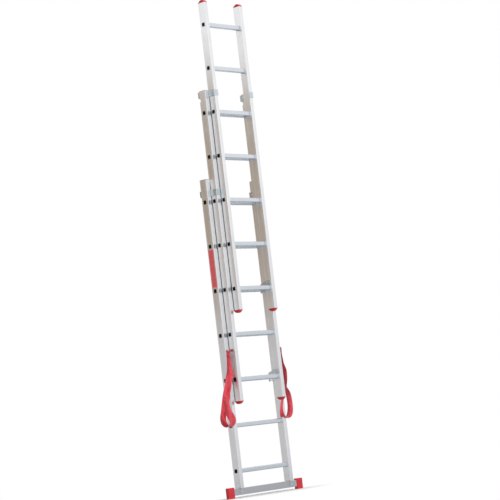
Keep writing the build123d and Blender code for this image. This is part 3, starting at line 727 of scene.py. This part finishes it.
def join(name, parts):
    """Several pieces as one."""
    work = bmesh.new()
    materials = []
    for part in parts:
        start = len(work.faces)
        work.from_mesh(part.data)
        work.faces.ensure_lookup_table()
        offset = len(materials)
        materials += list(part.data.materials)
        for face in work.faces[start:]:
            face.material_index += offset
    mesh = bpy.data.meshes.new(name)
    work.to_mesh(mesh)
    work.free()
    for made in materials:
        mesh.materials.append(made)
    for part in parts:
        bpy.data.objects.remove(part)
    return link_object(name, mesh)


# Operators

class LADDER_OT_stage(bpy.types.Operator):
    """Camera at the photograph's angle, pale floor, white surround and soft studio light"""

    bl_idname = "ladder.stage"
    bl_label = "Stage"

    def execute(self, context):
        scene = context.scene
        scene.view_settings.view_transform = "Standard"
        turn, tilt, roll = (math.radians(a) for a in (CAMERA_TURN, CAMERA_TILT, CAMERA_ROLL))
        ahead = Vector((
            math.sin(turn) * math.cos(tilt), math.cos(turn) * math.cos(tilt), math.sin(tilt)))
        right = Vector((math.cos(turn), -math.sin(turn), 0))
        up = right.cross(ahead)
        image_right = math.cos(roll) * right + math.sin(roll) * up
        image_up = math.cos(roll) * up - math.sin(roll) * right
        lens = bpy.data.cameras.new("camera")
        lens.sensor_width = CAMERA_SENSOR
        lens.lens = CAMERA_LENS
        lens.clip_end = CAMERA_REACH
        camera = bpy.data.objects.new("camera", lens)
        camera.matrix_world = Matrix.Translation(CAMERA_PLACE) @ Matrix(
            (image_right, image_up, -ahead)).transposed().to_4x4()
        scene.collection.objects.link(camera)
        scene.camera = camera
        self.surround(scene)
        self.floor()
        for name, (start, end, stops) in SCREENS.items():
            self.screen(name, [
                (*start, 0), (*end, 0), (*end, SCREEN_TOP), (*start, SCREEN_TOP)], stops)
        # The floor cloth is a glowing grey card that only the metal reflects: a painted reflection
        # that darkens the rungs' undersides.
        self.screen("floor_cloth", square(CLOTH_HALF, CLOTH_HEIGHT), [(0, "floor_cloth")])
        for name, place, size, power in LAMPS:
            lamp = bpy.data.lights.new(name, "AREA")
            lamp.size = size
            lamp.energy = power
            holder = bpy.data.objects.new(name, lamp)
            holder.location = place
            holder.visible_camera = holder.visible_glossy = False
            facing = Vector(LAMP_TARGET) - Vector(place)
            holder.rotation_euler = facing.to_track_quat("-Z", "Y").to_euler()
            scene.collection.objects.link(holder)
        return {"FINISHED"}

    @staticmethod
    def seen_rays(tree):
        """1 for rays that show the background: from the camera, or by way of gloss or glass."""
        path = node(tree, "ShaderNodeLightPath").outputs
        seen = path["Is Camera Ray"]
        for way in ("Is Glossy Ray", "Is Transmission Ray"):
            seen = node(tree, "ShaderNodeMath", {0: seen, 1: path[way]}, operation="MAXIMUM")
        return seen

    def surround(self, scene):
        """White where it is seen, softer where it lights."""
        scene.world = bpy.data.worlds.new("surround")
        scene.world.use_nodes = True
        tree = scene.world.node_tree
        strength = node(tree, "ShaderNodeMapRange", {
            0: self.seen_rays(tree), 1: 0, 2: 1, 3: SURROUND_LIGHT, 4: 1})
        background = tree.nodes["Background"]
        background.inputs["Color"].default_value = linear("#FFFFFF")
        tree.links.new(strength.outputs[0], background.inputs["Strength"])

    def floor(self):
        """A pale floor that keeps the shadow round the ladder and fades to the white surround."""
        mesh = mesh_from("floor", square(sizes().floor_size / 2, 0), [(0, 1, 2, 3)])
        piece = link_object("floor", mesh)
        piece.location.z = -FLOOR_DROP
        made, tree = new_material("matt pale floor", {
            "Roughness": 0.9, "Base Color": colour("floor")})
        place = node(tree, "ShaderNodeTexCoord").outputs["Object"]
        round_bar = node(tree, "ShaderNodeMapping", {
            "Vector": place, "Location": SHADOW_SHIFT, "Scale": SHADOW_STRETCH})
        away = node(tree, "ShaderNodeVectorMath", {
            0: round_bar}, operation="LENGTH").outputs["Value"]
        near, far = SHADOW_FADE
        faded = node(tree, "ShaderNodeMapRange", {0: away, 1: near, 2: far, 3: 0, 4: 1})
        share = node(tree, "ShaderNodeMath", {
            0: faded, 1: self.seen_rays(tree)}, operation="MULTIPLY")
        white = node(tree, "ShaderNodeEmission", {"Strength": 1.0})
        mixed = node(tree, "ShaderNodeMixShader", {
            0: share, 1: tree.nodes["Principled BSDF"], 2: white})
        tree.links.new(mixed.outputs[0], tree.nodes["Material Output"].inputs["Surface"])
        mesh.materials.append(made)

    @staticmethod
    def screen(name, corners, stops):
        """A glowing screen that only the metal reflects, with its colour given by height: a painted
        reflection that lights nothing.
        """
        mesh = mesh_from(name, corners, [(0, 1, 2, 3)])
        piece = link_object(name, mesh)
        # Named as cloth, but it glows: a painted reflection, not a lit surface.
        made = bpy.data.materials.new("matt cloth, " + name.replace("_", " "))
        made.use_nodes = True
        tree = made.node_tree
        tree.nodes.clear()
        place = node(tree, "ShaderNodeTexCoord").outputs["Object"]
        height = node(tree, "ShaderNodeSeparateXYZ", {0: place}).outputs[2]
        shade = colour(stops[0][1])
        for (low, _), (high, tint) in zip(stops, stops[1:]):
            shade = graded(tree, height, low, high, 1, shade, colour(tint))
        glow = node(tree, "ShaderNodeEmission", {"Color": shade, "Strength": 1.0})
        node(tree, "ShaderNodeOutputMaterial", {"Surface": glow})
        mesh.materials.append(made)
        piece.visible_camera = piece.visible_diffuse = piece.visible_shadow = False


class LADDER_OT_straps(bpy.types.Operator):
    """Red webbing straps, the folds sewn round their loops and their riveted ends"""

    bl_idname = "ladder.straps"
    bl_label = "Straps"

    def execute(self, context):
        size = sizes()
        webbing = woven_polyester("woven polyester webbing", "webbing")
        rows = {"base_section": [], "middle_section": []}
        ends, folds = [], []
        for name, side in SIDES.items():
            route = [
                Vector((side * (STRAP_WEB + out), depth, height)) * MM
                for out, depth, height, *_ in STRAP_ROUTES[name]]
            points, _ = evenly(spline_points(route), STRAP_STEP)
            given = shares_beside(route, points)
            _, _, _, *lies = zip(*STRAP_ROUTES[name])
            azimuths, widths, bends = (even_values(given, lie, len(points)) for lie in lies)
            across = plan_across(points, azimuths, side)
            widths = [min(size.webbing_width, width * MM) for width in widths]
            strap = ribbon(
                f"webbing_strap_{name}", points, across, widths,
                size.webbing_thickness, webbing, bends)
            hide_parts(f"strap_{name}")
            self.hang(strap, points)
            folds.append(self.fold(name, side, points, across, widths, size, webbing, rows))
            ends.append(self.end(name, side, points[-1], size, webbing, rows))
        fold = join("strap_folds", folds)
        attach(fold, "middle_section")
        end = join("riveted_strap_ends", ends)
        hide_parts("strap_ends")
        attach(end, "base_section")
        tree = stitch_tree(sewing_thread("bonded polyester thread", "thread"))
        for body, lines in rows.items():
            places, edges = [], []
            for line in lines:
                edges += [(len(places) + i, len(places) + i + 1) for i in range(len(line) - 1)]
                places += line
            seed = bpy.data.meshes.new("stitch_lines")
            seed.from_pydata([tuple(p) for p in places], edges, [])
            piece = grow("stitches_" + body.split("_")[0], seed, tree, {
                "Pitch": size.stitch_pitch, "Radius": size.thread_radius})
            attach(piece, body)
        return {"FINISHED"}

    @staticmethod
    def hang(strap, points):
        """Bakes the strap's place into its mesh; it is not made to follow the middle section at its
        loop or the base at its riveted end."""
        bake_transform(strap)

    @staticmethod
    def fold(name, side, points, across, widths, size, webbing, rows):
        """The end of the webbing, passed up round the loop's bar and sewn to the strap below it."""
        low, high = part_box("strap_loops")
        outer = high.x if side > 0 else -low.x
        bar, depth, layer = (low.z + high.z) / 2, points[0].y, size.webbing_thickness
        normals = [t.cross(a).normalized() * side for t, a in zip(directions(points), across)]
        outside = [points[i] + normals[i] * (layer * FOLD_LIFT) for i in FOLD_POINTS]
        over = [
            Vector((side * (outer + out * MM), depth, bar + up * MM)) for out, up in FOLD_OVER]
        line, marks = evenly(spline_points(outside + over), FOLD_STEP)
        sides, breadths = [], []
        for place, along in zip(line, directions(line)):
            near = min(range(STRAP_AHEAD), key=lambda i: (points[i] - place).length)
            sides.append((across[near] - along * along.dot(across[near])).normalized())
            breadths.append(widths[near] - FOLD_NARROWER)
        start, stop = FOLD_SEWN
        sewn = [i for i, mark in enumerate(marks) if start < mark < stop]
        lift = normals[FOLD_FACE] * (layer * SEAM_LIFT)
        for share in FOLD_SEAMS:
            rows["middle_section"].append(
                [line[i] + sides[i] * (breadths[i] * share) + lift for i in sewn])
        return ribbon(f"fold_{name}", line, sides, breadths, layer, webbing)

    @staticmethod
    def end(name, side, last, size, webbing, rows):
        """The strap's lower end, folded narrow and laid on the stile under its rivet."""
        low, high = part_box("strap_ends")
        face, layer = (low.y + high.y) / 2, size.webbing_thickness
        back, up = END_LEAVES
        route = [last, Vector((last.x, last.y + back * MM, last.z + up * MM))]
        route += [Vector((last.x, face, last.z + up * MM)) for up in END_ON_FACE]
        route.append(Vector((last.x, face, high.z)))
        line, marks = evenly(spline_points(route), END_STEP)
        middle = side * (abs(low.x) - END_WIDTH / 2)
        line = [
            Vector((p.x + (middle - p.x) * min(1, mark / END_TURN), p.y, p.z))
            for p, mark in zip(line, marks)]
        for share in END_SEAMS:
            rows["base_section"].append([
                Vector((middle + share * MM, face - layer * SEAM_LIFT, low.z + up * MM))
                for up in END_STITCHES])
        across, widths = [Vector((1, 0, 0))] * len(line), [END_WIDTH] * len(line)
        return ribbon(f"end_{name}", line, across, widths, layer, webbing)


class LADDER_OT_metal(bpy.types.Operator):
    """Aluminium of the stiles, rungs and stabiliser bar"""

    bl_idname = "ladder.metal"
    bl_label = "Stiles, rungs and bar"

    def execute(self, context):
        covers = dict(zip(SECTIONS[1:], SECTIONS))
        rung = extruded_aluminium(
            "mill-finish extruded aluminium, rungs", "rung", along=X, roughness=0.24)
        bar = extruded_aluminium(
            "anodised extruded aluminium, bar", "bar", along=X, roughness=0.36)
        for section in SECTIONS:
            # Painted shade, partly rubbing: a dark strip on the rear of a web, beside the stile of
            # the section it slides in.
            rubbed = None
            if section in covers:
                own, cover = (
                    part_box(f"{name}_stile_right")[1] for name in (section, covers[section]))
                rubbed = (own.x, own.y, cover.z)
            stile = extruded_aluminium(
                f"mill-finish extruded aluminium, {section} stiles", "stile",
                along=Z, roughness=0.3, drawn=0.7, rubbed=rubbed)
            finish_nodes(stile, *pair(f"{section}_stile"))
            finish_nodes(rung, *(f"{section}_rung_{i}" for i in RUNGS))
        finish_nodes(bar, "stabiliser_bar")
        return {"FINISHED"}


class LADDER_OT_brackets(bpy.types.Operator):
    """Zinc plate on the guides, hooks, catches and strap loops, and steel of the bolts"""

    bl_idname = "ladder.brackets"
    bl_label = "Brackets and bolts"

    def execute(self, context):
        zinc = zinc_plated_steel("zinc-plated pressed steel", "zinc", roughness=0.26)
        bolt = zinc_plated_steel("bright zinc-plated bolt steel", "steel", roughness=0.28)
        brackets = pair(
            "base_guide", "middle_guide", "middle_hook", "middle_catch", "top_hook", "top_catch")
        finish_nodes(zinc, "strap_loops", *brackets)
        finish_nodes(bolt, "stabiliser_bolts")
        return {"FINISHED"}


class LADDER_OT_rivets(bpy.types.Operator):
    """Domed rivets and catch pins in place of the plain ones"""

    bl_idname = "ladder.rivets"
    bl_label = "Rivets"

    def execute(self, context):
        tree = rivet_tree(zinc_plated_steel("blind rivet steel", "steel", roughness=0.3))
        for section in SECTIONS:
            points, values = [], {label: [] for label in RIVET_VALUES}
            for low, high in self.islands(f"{section}_rivets"):
                middle, half = (low + high) / 2, (high - low) / 2
                # A rivet lies along x, or along y where its other two extents are alike.
                along = 1 if abs(half.x - half.z) < abs(half.y - half.z) else 0
                radius = half.z
                reach = half[along] - radius * sizes().rivet_dome
                for facing in (-1, 1):
                    place = middle.copy()
                    place[along] += facing * reach
                    points.append(place)
                    turn = facing * math.pi / 2
                    shank = min(radius * RIVET_SHANK, RIVET_SHANK_MOST)
                    turns = (-turn, 0.0) if along else (0.0, turn)
                    for label, value in zip(RIVET_VALUES, (radius, shank, reach, *turns)):
                        values[label].append(value)
            seed = seed_points("rivet_points", points, values)
            piece = grow(f"{section}_rivet_set", seed, tree, {"Dome": sizes().rivet_dome})
            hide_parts(f"{section}_rivets")
            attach(piece, f"{section}_section")
        return {"FINISHED"}

    @staticmethod
    def islands(name):
        """Lowest and highest corner of each separate solid of a node."""
        work = bmesh.new()
        work.from_mesh(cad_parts[name].data)
        bmesh.ops.remove_doubles(work, verts=work.verts, dist=MERGE)
        left, found = set(work.verts), []
        while left:
            group, todo = set(), [left.pop()]
            while todo:
                vert = todo.pop()
                group.add(vert)
                for edge in vert.link_edges:
                    other = edge.other_vert(vert)
                    if other in left:
                        left.remove(other)
                        todo.append(other)
            found.append(tuple(
                Vector([pick(v.co[axis] for v in group) for axis in range(3)])
                for pick in (min, max)))
        work.free()
        return sorted(found, key=lambda box: tuple(box[0]))


class LADDER_OT_plastic(bpy.types.Operator):
    """Moulded plastic of the caps, shoes, plugs and spigots"""

    bl_idname = "ladder.plastic"
    bl_label = "Caps, shoes and plugs"

    def execute(self, context):
        red = moulded_polypropylene("moulded red polypropylene", "red_plastic", roughness=0.42)
        grey = moulded_polypropylene("moulded grey polypropylene", "grey_plastic", roughness=0.5)
        caps = pair("stabiliser_cap", "top_end_cap", "middle_shoe", "top_shoe")
        finish_nodes(red, "middle_stile_plugs", *caps)
        finish_nodes(grey, "base_stile_plugs", "stabiliser_spigots")
        return {"FINISHED"}


class LADDER_OT_label(bpy.types.Operator):
    """Plain red film on the left base stile"""

    bl_idname = "ladder.label"
    bl_label = "Label"

    def execute(self, context):
        film = printed_film("coated vinyl film", "label", "label_edge", *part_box("label"))
        finish_nodes(film, "label")
        return {"FINISHED"}


class LADDER_PT_finishes(bpy.types.Panel):
    """Sidebar panel with every step of the finish"""

    bl_idname = "LADDER_PT_finishes"
    bl_label = "Ladder finishes"
    bl_space_type = "VIEW_3D"
    bl_region_type = "UI"
    bl_category = "Ladder"

    def draw(self, context):
        for group in (context.scene.ladder_sizes, context.scene.ladder_colours):
            for name in group.__annotations__:
                self.layout.prop(group, name)
        for step in STEPS:
            self.layout.operator(step.bl_idname)


STEPS = (
    LADDER_OT_stage,
    LADDER_OT_straps,
    LADDER_OT_metal,
    LADDER_OT_brackets,
    LADDER_OT_rivets,
    LADDER_OT_plastic,
    LADDER_OT_label,
)
CLASSES = (LadderSizes, LadderColours, *STEPS, LADDER_PT_finishes)


def register():
    for made in CLASSES:
        bpy.utils.register_class(made)
    bpy.types.Scene.ladder_sizes = PointerProperty(type=LadderSizes)
    bpy.types.Scene.ladder_colours = PointerProperty(type=LadderColours)


def unregister():
    del bpy.types.Scene.ladder_colours
    del bpy.types.Scene.ladder_sizes
    for made in reversed(CLASSES):
        bpy.utils.unregister_class(made)


def main():
    register()
    bpy.ops.ladder.stage()
    bpy.ops.ladder.straps()
    bpy.ops.ladder.metal()
    bpy.ops.ladder.brackets()
    bpy.ops.ladder.rivets()
    bpy.ops.ladder.plastic()
    bpy.ops.ladder.label()


if __name__ == "__main__":
    main()
